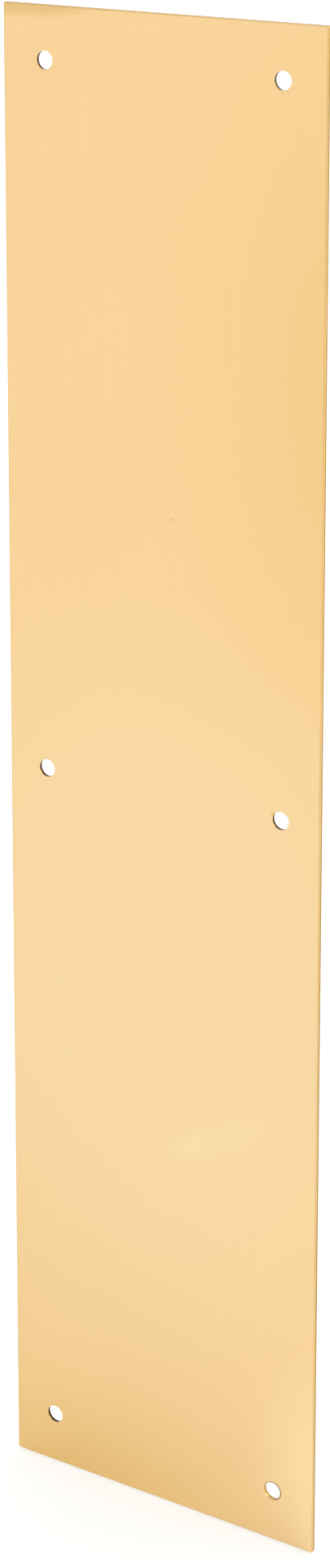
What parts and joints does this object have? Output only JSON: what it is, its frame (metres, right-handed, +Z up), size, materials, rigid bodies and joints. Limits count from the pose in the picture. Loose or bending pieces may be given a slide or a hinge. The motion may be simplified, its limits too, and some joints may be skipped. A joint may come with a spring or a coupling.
{
  "type": "door protection plate",
  "caption": "Flat upright rectangular brass plate with square corners and small plain screw holes down both long sides, screwed to a door's face to take the wear of hands or feet.",
  "frame": {"origin": "centre of the flat back face, which lies against the door", "axes": "+Z up along the plate's height, +X to the right across its width seen from the front, +Y into the door, so the polished front faces -Y"},
  "size_m": [0.0888, 0.0013, 0.381],
  "materials": {
    "polished_brass": "polished, clear lacquered"
  },
  "bodies": {
    "root": {"plate": "polished_brass"}
  },
  "joints": []
}
